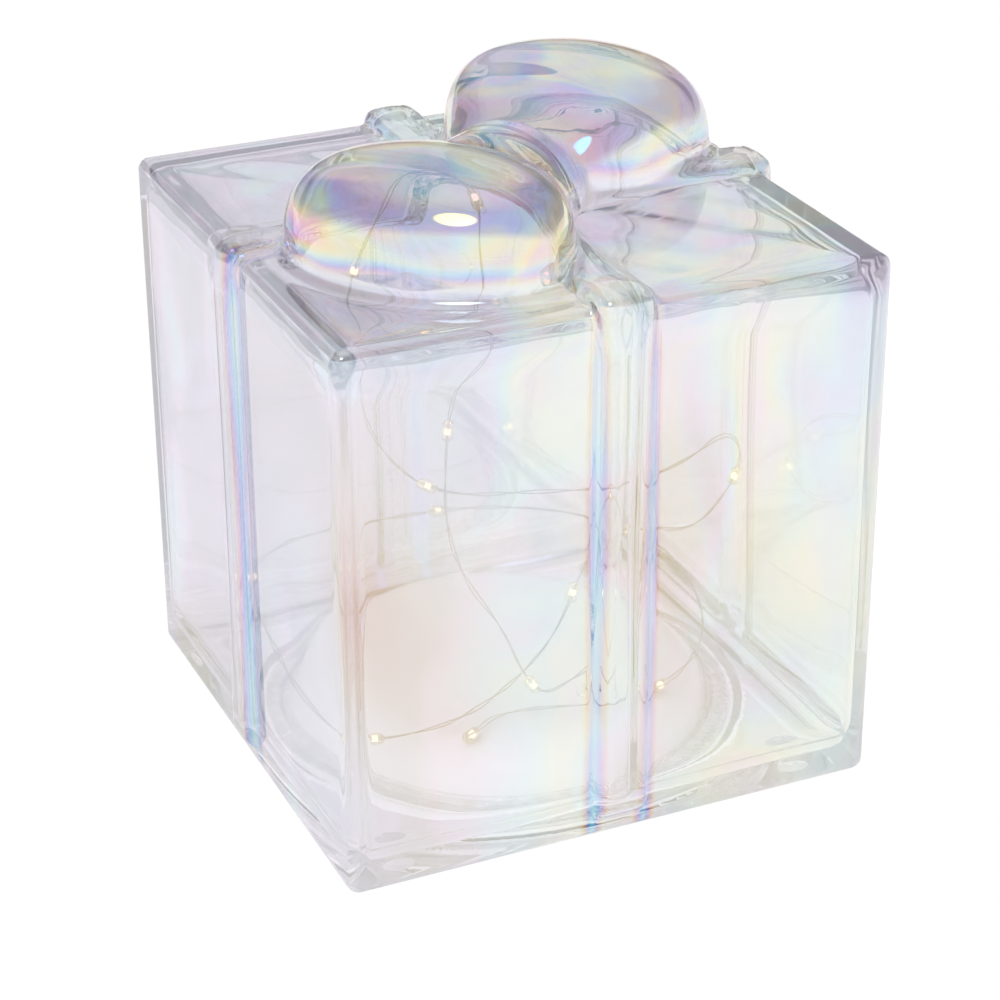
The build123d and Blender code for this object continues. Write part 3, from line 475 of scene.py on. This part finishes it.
def film_tint_and_side_shade(material):
    """The tint of the film, which drifts over the box and, more strongly, over the bow, with painted shade
    on the left wall, where the drift is pushed towards the darkest tint.
    """
    drift_and_shade = spread(material, noise(material, *TINT_NOISE), *TINT_DRIFT)
    # painted shade: the shift by side darkens the tint on the left wall
    drift_and_shade = combine(material, "ADD", drift_and_shade, by_side(material, *PAINTED_SIDE_SHADE))
    bow_drift = spread(material, noise(material, *BOW_TINT_NOISE), *BOW_TINT_DRIFT)
    share = by_height(material, *BOW_TINT_SHARE)
    mix = mix_node(material, share, ramp(material, drift_and_shade, FILM_TINTS_AND_SHADE))
    material.node_tree.links.new(ramp(material, bow_drift, BOW_LUSTRE), mix.inputs["B"])
    return mix.outputs["Result"]


def film_thickness(material):
    """The thickness of the film: by height and side, with a slow swing, and more on the ribbons' edges."""
    swing = spread(material, noise(material, *FILM_NOISE), -FILM_SWING, FILM_SWING)
    swing = combine(material, "MULTIPLY", swing, by_height(material, *FILM_SWING_SHARE))
    bands = spread(material, noise(material, *BOW_FILM_NOISE), -BOW_SWING, BOW_SWING)
    bands = combine(material, "MULTIPLY", bands, by_height(material, *BOW_SWING_SHARE))
    edges = combine(material, "ADD", ribbon_edges(material, "X"), ribbon_edges(material, "Y"))
    edges = combine(material, "MULTIPLY", edges, by_height(material, *EDGE_FILM_SHARE))
    film = combine(material, "ADD", by_height(material, *FILM_BELOW), by_height(material, *FILM_ABOVE))
    for extra in (by_side(material, *FILM_SIDE), swing, bands, edges):
        film = combine(material, "ADD", film, extra)
    return film


def lustre_glass():
    """The outside of the glass, with its clear film of metal oxide."""
    material, shader = new_material("iridescent_glass")
    links = material.node_tree.links
    links.new(film_tint_and_side_shade(material), shader.inputs["Base Color"])
    links.new(film_thickness(material), shader.inputs["Thin Film Thickness"])
    set_sockets(shader, thin_film_ior=2.7, transmission_weight=0.92, roughness=0.0, ior=GLASS_IOR)
    return material


def bare_glass():
    """The inside of the glass, without the film and a little hazy low down."""
    material, shader = new_material("inner_glass")
    two_tones(material, shader, noise(material, scale=20.0), (0.975, 0.98, 0.985), (0.99, 0.99, 0.985))
    material.node_tree.links.new(by_height(material, *INNER_HAZE), shader.inputs["Roughness"])
    set_sockets(shader, transmission_weight=1.0, ior=GLASS_IOR)
    return material


def resin():
    """The clear, warm drops of resin on the string."""
    material, shader = new_material("clear_resin")
    two_tones(material, shader, noise(material, scale=300.0), (1.0, 0.93, 0.80), (1.0, 0.97, 0.90))
    set_sockets(shader, transmission_weight=0.85, roughness=0.08, ior=1.5)
    glow(material, shader, colour=(1.0, 0.82, 0.55), strength=0.04)
    return material


def phosphor():
    """The lit chips in the drops."""
    material, shader = new_material("phosphor")
    two_tones(material, shader, noise(material, scale=900.0), (1.0, 0.80, 0.45), (1.0, 0.90, 0.60))
    glow(material, shader, colour=(1.0, 0.83, 0.55), strength=1.6)
    return material


def wire():
    """The fine enamelled wires, silver with a breath of copper."""
    material, shader = new_material("enamelled_wire")
    tone = noise(material, scale=160.0, detail=2.0)
    two_tones(material, shader, tone, (0.62, 0.58, 0.56), (0.82, 0.77, 0.71), WIRE_TONE_STOPS)
    set_sockets(shader, metallic=1.0, roughness=0.3)
    return material


def cell_jacket():
    """The cells' jackets: plain bands round a steel can."""
    material, shader = new_material("cell_jacket")
    links = material.node_tree.links
    half = JACKET_LENGTH / 2
    along = spread(material, place_along(material, "X"), 0.0, 1.0, -half, half)
    bands = ramp(material, along, JACKET_BANDS)
    bands.node.color_ramp.interpolation = "CONSTANT"
    links.new(bands, shader.inputs["Base Color"])
    links.new(spread(material, noise(material, scale=200.0), 0.2, 0.35), shader.inputs["Roughness"])
    set_sockets(shader, metallic=0.4)
    return material


def make_materials():
    """The finish of every slot of the record."""
    plain = {name: plain_finish(name, **finish) for name, finish in PLAIN_FINISHES.items()}
    return {
        **plain,
        "iridescent_glass": lustre_glass(),
        "enamelled_wire": wire(),
        "phosphor": phosphor(),
        "clear_resin": resin(),
        "cell_jacket": cell_jacket(),
    }


# Pieces


def place_piece(name, mesh, slot, *nodes):
    """A piece on the lamp that stands for nodes of the model."""
    piece = bpy.data.objects.new(name, mesh)
    bpy.context.scene.collection.objects.link(piece)
    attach(piece, "lamp")
    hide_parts(*nodes)
    return piece


# Glass, as distances that are negative inside a form


def smooth_least(a, b, blend):
    """The lesser of two distances, rounded where they meet."""
    share = np.clip(0.5 + 0.5 * (b - a) / blend, 0, 1)
    return b + (a - b) * share - blend * share * (1 - share)


def smooth_most(a, b, blend):
    """The greater of two distances, rounded where they meet."""
    return -smooth_least(-a, -b, blend)


def rounded(reach, radius):
    """Distance to a square or block with rounded edges, from how far points lie past its sides."""
    reach = reach + radius
    return np.linalg.norm(np.maximum(reach, 0), axis=-1) + np.minimum(reach.max(axis=-1), 0) - radius


def rounded_block(p, low, high, radius):
    """Distance to a block between two corners, with rounded edges."""
    middle, half = (high + low) / 2, (high - low) / 2
    return rounded(np.abs(p - middle) - half, radius)


def hollow_box(p):
    """Distance to the hollow of the plain box: tight upright corners, melted edges at top and floor."""
    plan = rounded(np.abs(p[:, :2]) - BOX_HALF + WALL, INNER_CORNER)
    top = BOX_TOP - WALL
    level = np.abs(p[:, 2] - (top + FLOOR_TOP) / 2) - (top - FLOOR_TOP) / 2
    return smooth_most(plan, level, INNER_EDGE_BLEND)


def ribbon(p, inset):
    """Distance to the ribbon that runs over the box along Y."""
    reach = BOX_HALF + RIBBON_RISE - inset
    side = RIBBON_HALF - inset
    low = np.array((-side, -reach, RIBBON_LOW + inset))
    high = np.array((side, reach, BOX_TOP + RIBBON_RISE - inset))
    return rounded_block(p, low, high, RIBBON_EDGE)


def shoulders(p):
    """Distance to the round beads where that ribbon crosses the top edges of the box."""
    reach = BOX_HALF + SHOULDER_RISE - SHOULDER_RADIUS
    height = BOX_TOP + SHOULDER_RISE - SHOULDER_RADIUS
    away = np.stack((p[:, 0], np.abs(p[:, 1]) - reach, p[:, 2] - height), axis=-1)
    return np.linalg.norm(away, axis=-1) - SHOULDER_RADIUS


def bow_axes(p, turn):
    """How far points lie along and across a line that is turned about Z."""
    along = p[:, 0] * math.cos(turn) + p[:, 1] * math.sin(turn)
    return along, p[:, 1] * math.cos(turn) - p[:, 0] * math.sin(turn)


def loop(along, across, height):
    """Distance to one loop of the bow: a flared plan under a domed crown."""
    across = np.abs(across)
    flare = LOOP_HALF_WIDTH - LOOP_ROOT_HALF_WIDTH
    side = (across - LOOP_ROOT_HALF_WIDTH) * LOOP_WIDEST_AT - along * flare
    side = side / math.hypot(flare, LOOP_WIDEST_AT)
    rise = LOOP_REACH - LOOP_WIDEST_AT
    bend = (LOOP_HALF_WIDTH**2 + rise**2) / (2 * rise)
    end = np.hypot(along - LOOP_REACH + bend, across) - bend
    plan = smooth_most(side, end, LOOP_CORNER_BLEND)
    drop, span = LOOP_HEIGHT - LOOP_END_HEIGHT, LOOP_REACH - LOOP_CROWN_AT
    girth = (span**2 + drop**2) / (2 * drop)
    stretch = LOOP_HALF_WIDTH / math.sqrt(1 - ((girth - LOOP_HEIGHT + LOOP_SIDE_HEIGHT) / girth) ** 2)
    away = (along - LOOP_CROWN_AT, across, height - BOX_TOP - LOOP_HEIGHT + girth)
    scaled = np.sqrt((away[0] / girth) ** 2 + (away[1] / stretch) ** 2 + (away[2] / girth) ** 2)
    steep = np.sqrt((away[0] / girth**2) ** 2 + (away[1] / stretch**2) ** 2 + (away[2] / girth**2) ** 2)
    crown = scaled * (scaled - 1) / np.maximum(steep, TINY)
    return smooth_most(plan, crown, LOOP_RIM_BLEND)


def knot(along, across, height):
    """Distance to the arched band across the middle of the bow."""
    girth = (KNOT_HALF_LENGTH**2 + KNOT_HEIGHT**2) / (2 * KNOT_HEIGHT)
    arch = np.hypot(across, height - BOX_TOP - KNOT_HEIGHT + girth) - girth
    return smooth_most(arch, np.abs(along) - KNOT_HALF_WIDTH, KNOT_EDGE_BLEND)


def present(p, box, inset):
    """Distance to box, ribbons and bow as one form, with ribbons and bow drawn in by the inset."""
    form = box
    for turned in (p, p[:, [1, 0, 2]]):
        form = smooth_least(form, ribbon(turned, inset), RIBBON_BLEND)
        if inset == 0:
            form = smooth_least(form, shoulders(turned), SHOULDER_BLEND)
    for turn in (BOW_TURN - LOOP_BEND, BOW_TURN + LOOP_BEND + math.pi):
        form = smooth_least(form, loop(*bow_axes(p, turn), p[:, 2]) + inset, LOOP_FOOT_BLEND)
    return smooth_least(form, knot(*bow_axes(p, BOW_TURN), p[:, 2]) + inset, KNOT_BLEND)


def waves(p, ripples):
    """Slow waves over space."""
    total = np.zeros(len(p))
    for height, pitch, phase in ripples:
        total += height * np.sin(2 * math.pi * (p @ np.array(pitch)) + phase)
    return total


def outside(p):
    """Distance to the outer surface of the glass."""
    low, high = np.array((-BOX_HALF, -BOX_HALF, BOX_LOW)), np.array((BOX_HALF, BOX_HALF, BOX_TOP))
    return present(p, rounded_block(p, low, high, OUTER_EDGE), 0.0)


def cavity(p):
    """Distance to the hollow of the glass, which waves as blown glass does."""
    in_bow = np.clip((p[:, 2] - BOX_TOP + BOW_RIPPLE_FADE) / BOW_RIPPLE_FADE, 0, 1)
    ripples = waves(p, RIPPLES) + in_bow * waves(p, BOW_RIPPLES)
    return present(p, hollow_box(p), WALL) + ripples


def glass(p):
    """Distance to the glass: the shell, less the opening and the seat of the base unit."""
    shell = np.maximum(outside(p), -cavity(p))
    radius = np.hypot(p[:, 0], p[:, 1])
    opening = np.maximum(radius - OPENING_RADIUS, p[:, 2] - FLOOR_TOP - WALL)
    seat = smooth_most(radius - RECESS_RADIUS, p[:, 2] - RECESS_TOP, OPENING_BLEND)
    return smooth_most(shell, -smooth_least(opening, seat, OPENING_BLEND), OPENING_BLEND)


def surface_net(distances, origin, step):
    """Points and quads on the zero level of a grid: one point in each cell that the level crosses."""
    cells = tuple(count - 1 for count in distances.shape)
    sums, hits = np.zeros(cells + (3,)), np.zeros(cells)
    for axis in range(3):
        for corner in range(4):
            start = [0, 0, 0]
            start[(axis + 1) % 3], start[(axis + 2) % 3] = corner % 2, corner // 2
            end = list(start)
            end[axis] = 1
            a = distances[tuple(slice(s, s + n) for s, n in zip(start, cells))]
            b = distances[tuple(slice(s, s + n) for s, n in zip(end, cells))]
            crossed = (a < 0) != (b < 0)
            place = np.array(start) + np.zeros(cells + (3,))
            place[..., axis] = a / np.where(crossed, a - b, 1)
            sums += place * crossed[..., None]
            hits += crossed
    used = hits > 0
    number = np.full(cells, -1)
    number[used] = np.arange(used.sum())
    points = (np.argwhere(used) + sums[used] / hits[used][:, None]) * step + origin
    quads = []
    inside = distances < 0
    for axis in range(3):
        first = np.moveaxis(inside, axis, 0)
        crossed = np.argwhere((first[:-1] != first[1:])[:, 1:-1, 1:-1]) + (0, 1, 1)
        goes_out = first[tuple(crossed.T)]
        numbers = np.moveaxis(number, axis, 0)
        ring = [(0, -1, -1), (0, 0, -1), (0, 0, 0), (0, -1, 0)]
        quad = np.stack([numbers[tuple((crossed + offset).T)] for offset in ring], axis=-1)
        turn = goes_out if axis != 1 else ~goes_out
        quads.append(np.where(turn[:, None], quad, quad[:, ::-1]))
    return points, np.concatenate(quads)


def slope(field, p):
    """The gradient of a distance field."""
    axes = np.eye(3) * PROBE
    return np.stack([field(p + axis) - field(p - axis) for axis in axes], axis=-1) / (2 * PROBE)


def make_glass():
    """The blown glass as one closed shell, outside and inside."""
    low, high = (np.array(corner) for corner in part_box("glass_body"))
    origin = low - GLASS_MARGIN * GLASS_STEP
    counts = np.ceil((high - low) / GLASS_STEP).astype(int) + 2 * GLASS_MARGIN + 1
    axes = [origin[i] + np.arange(counts[i]) * GLASS_STEP for i in range(3)]
    grid = np.stack(np.meshgrid(*axes, indexing="ij"), axis=-1).reshape(-1, 3)
    points, quads = surface_net(glass(grid).reshape(counts), origin, GLASS_STEP)
    for _ in range(SURFACE_PASSES):
        way = slope(glass, points)
        steep = np.maximum((way * way).sum(axis=-1, keepdims=True), LEAST_SLOPE_SQUARED)
        points = points - way * glass(points)[:, None] / steep
    mesh = bpy.data.meshes.new("glass_shell")
    mesh.from_pydata(points.tolist(), [], quads.tolist())
    mesh.polygons.foreach_set("use_smooth", np.ones(len(quads), dtype=bool))
    coated = (np.abs(outside(points)) < 2 * PROBE)[quads].all(axis=1)
    mesh.polygons.foreach_set("material_index", np.where(coated, 0, 1).astype(np.int32))
    way = slope(glass, points)
    mesh.normals_split_custom_set_from_vertices(way / np.linalg.norm(way, axis=-1, keepdims=True))
    return place_piece("glass_shell", mesh, "iridescent_glass", "glass_body")


# Light string


def string_line():
    """Points along the smooth line of the string, from the spline that its route guides."""
    curve = bpy.data.curves.new("string_route", "CURVE")
    curve.dimensions = "3D"
    curve.resolution_u = ROUTE_RESOLUTION
    spline = curve.splines.new("NURBS")
    spline.points.add(len(STRING_ROUTE) - 1)
    for point, place in zip(spline.points, STRING_ROUTE):
        point.co = (*(Vector(place) * MM), 1.0)
    spline.order_u = 3
    spline.use_endpoint_u = True
    holder = bpy.data.objects.new("string_route", curve)
    line = bpy.data.meshes.new_from_object(holder)
    points = np.array([vertex.co[:] for vertex in line.vertices])
    bpy.data.objects.remove(holder)
    bpy.data.meshes.remove(line)
    return points


def carried_frames(line):
    """Directions across a line that turn no more than the line does."""
    ways = np.gradient(line, axis=0)
    ways /= np.linalg.norm(ways, axis=1, keepdims=True)
    across = [np.cross(ways[0], (1.0, 0.0, 0.0))]
    for way in ways[1:]:
        across.append(across[-1] - way * (across[-1] @ way))
    across = np.array([side / np.linalg.norm(side) for side in across])
    return across, np.cross(ways, across)


def tube(points, first, second, radius, sides):
    """Vertices and quads of a round tube along points, with closed ends."""
    turns = 2 * math.pi * np.arange(sides) / sides
    rings = first[:, None] * np.cos(turns)[None, :, None] + second[:, None] * np.sin(turns)[None, :, None]
    radii = np.broadcast_to(radius, len(points))[:, None, None]
    vertices = (points[:, None] + rings * radii).reshape(-1, 3)
    faces = []
    for ring in range(len(points) - 1):
        for side in range(sides):
            a, b = ring * sides + side, ring * sides + (side + 1) % sides
            faces.append((a, b, b + sides, a + sides))
    faces.append(tuple(range(sides))[::-1])
    faces.append(tuple(range(len(vertices) - sides, len(vertices))))
    return vertices, faces


def tubes_mesh(name, tubes):
    """One smooth mesh of several tubes."""
    vertices, faces = [], []
    for points, skin in tubes:
        faces += [tuple(i + len(vertices) for i in face) for face in skin]
        vertices += points.tolist()
    mesh = bpy.data.meshes.new(name)
    mesh.from_pydata(vertices, [], faces)
    mesh.shade_smooth()
    return mesh


def make_wires(line):
    """The two fine wires of the string, winding loosely round its line."""
    across, up = carried_frames(line)
    gone = np.concatenate(([0.0], np.cumsum(np.linalg.norm(np.diff(line, axis=0), axis=1))))
    turn = gone * STRAND_TWIST + TWIST_SWAY * np.sin(gone * TWIST_SWAY_PITCH)
    sway = SPREAD_SWAY * np.sin(gone * SPREAD_SWAY_PITCH + SPREAD_SWAY_PHASE)
    apart = STRAND_SPREAD * (SPREAD_SHARE + sway)
    aside = across * (np.cos(turn) * apart)[:, None] + up * (np.sin(turn) * apart)[:, None]
    tubes = [tube(line + side * aside, across, up, STRAND_RADIUS, STRAND_SIDES) for side in (1, -1)]
    mesh = tubes_mesh("string_wires", tubes)
    return place_piece("string_wires", mesh, "enamelled_wire", "light_string")


def make_drops():
    """The resin drops, each drawn out a little along the wires."""
    tubes = []
    route = [Vector(place) * MM for place in STRING_ROUTE]
    rows = (DROP_RINGS, 1)
    share = np.sin(np.linspace(-0.5, 0.5, DROP_RINGS) * math.pi)
    for number, run in enumerate(BEAD_RUNS):
        way = (route[run + 1] - route[run]).normalized()
        middle = np.array((route[run] + route[run + 1]) / 2)
        first = np.array(way.orthogonal().normalized())
        second = np.cross(np.array(way), first)
        swell = 1 + DROP_SWELL * math.sin(DROP_SWELL_PITCH * number)
        girth = DROP_RADIUS * swell * (1 - share**2) ** DROP_FULLNESS * (1 + DROP_TAPER * share)
        girth = np.minimum(DROP_NECK_RADIUS + girth, DROP_RADIUS)
        points = middle + np.outer(share * DROP_HALF_LENGTH, np.array(way))
        tubes.append(tube(points, np.tile(first, rows), np.tile(second, rows), girth, DROP_SIDES))
    mesh = tubes_mesh("resin_drops", tubes)
    beads = [name for name in NODES if name.startswith("led_bead_")]
    return place_piece("resin_drops", mesh, "clear_resin", *beads)


# Stage


def make_camera():
    """The camera of the photograph."""
    data = bpy.data.cameras.new("camera")
    data.lens = CAMERA_LENS
    data.sensor_width = CAMERA_SENSOR
    camera = bpy.data.objects.new("camera", data)
    bpy.context.scene.collection.objects.link(camera)
    level, lift = math.cos(CAMERA_ELEVATION), math.sin(CAMERA_ELEVATION)
    right = Vector((math.cos(CAMERA_AZIMUTH), math.sin(CAMERA_AZIMUTH), 0))
    back = Vector((math.sin(CAMERA_AZIMUTH) * level, -math.cos(CAMERA_AZIMUTH) * level, lift))
    turn = Matrix((right, back.cross(right), back)).transposed() @ Matrix.Rotation(CAMERA_ROLL, 3, "Z")
    camera.matrix_world = Matrix.Translation(CAMERA_TARGET + back * CAMERA_DISTANCE) @ turn.to_4x4()
    bpy.context.scene.camera = camera


def make_floor():
    """A plain pale floor."""
    mesh = bpy.data.meshes.new("floor")
    corners = [(-1, -1), (1, -1), (1, 1), (-1, 1)]
    mesh.from_pydata([(x * FLOOR_REACH, y * FLOOR_REACH, 0) for x, y in corners], [], [(0, 1, 2, 3)])
    floor = bpy.data.objects.new("floor", mesh)
    bpy.context.scene.collection.objects.link(floor)
    material, shader = new_material("floor")
    set_sockets(shader, base_color=FLOOR_COLOUR, roughness=1.0, specular_ior_level=0.0)
    mesh.materials.append(material)


def facing(world, way):
    """How far the directions of the room point along a way, from -1 to 1."""
    place = world.node_tree.nodes.new("ShaderNodeTexCoord")
    node = world.node_tree.nodes.new("ShaderNodeVectorMath")
    node.operation = "DOT_PRODUCT"
    node.inputs[1].default_value = Vector(way).normalized()
    world.node_tree.links.new(place.outputs["Generated"], node.inputs[0])
    return node.outputs["Value"]


def make_world():
    """A white room, whose dim ceiling and lit panels show only in glass and metal."""
    world = bpy.data.worlds.new("studio")
    bpy.context.scene.world = world
    world.use_nodes = True
    nodes = world.node_tree.nodes
    height = spread(world, facing(world, DIM_SIDE), 0.0, 1.0, -1.0, 1.0)
    shown = ramp(world, height, [((where + 1) / 2, (level,) * 3) for where, level in CEILING])
    rays = nodes.new("ShaderNodeLightPath")
    layers = [
        (spread(world, facing(world, way), 0.0, 1.0, edge, core), level)
        for way, edge, core, level in PANELS
    ]
    layers.append((rays.outputs["Is Diffuse Ray"], AMBIENT))
    layers.append((rays.outputs["Is Camera Ray"], BACKGROUND))
    for share, level in layers:
        mix = mix_node(world, share, shown)
        mix.inputs["B"].default_value = (level, level, level, 1.0)
        shown = mix.outputs["Result"]
    world.node_tree.links.new(shown, nodes["Background"].inputs["Color"])


def make_lamp():
    """A broad soft lamp, the same all over the floor, that doesn't show in the glass."""
    data = bpy.data.lights.new("key_lamp", "SUN")
    data.angle = LAMP_ANGLE
    data.energy = LAMP_STRENGTH
    lamp = bpy.data.objects.new("key_lamp", data)
    bpy.context.scene.collection.objects.link(lamp)
    lamp.location = LAMP_PLACE
    lamp.rotation_euler = Vector(LAMP_PLACE).to_track_quat("Z", "Y").to_euler()
    lamp.visible_glossy = False
    lamp.visible_transmission = False


make_camera()
make_floor()
make_world()
make_lamp()

materials = make_materials()
slot_of = {entry["node"]: entry["material_slot"] for entry in frame["record"]["subparts"]}
for name, node in NODES.items():
    node.data.materials.clear()
    node.data.materials.append(materials[slot_of[name]])

shell = make_glass()
shell.data.materials.append(materials["iridescent_glass"])
shell.data.materials.append(bare_glass())
for clear in (shell, NODES["silicone_seal"], NODES["bumper_feet"]):
    clear.visible_shadow = False
    clear.visible_diffuse = False

line = string_line()
wires = make_wires(line)
wires.data.materials.append(materials["enamelled_wire"])
drops = make_drops()
drops.data.materials.append(materials["clear_resin"])

scene = bpy.context.scene
scene.view_settings.view_transform = "Standard"
scene.cycles.max_bounces = GLASS_BOUNCES
scene.cycles.transmission_bounces = GLASS_BOUNCES
scene.cycles.glossy_bounces = GLOSSY_BOUNCES
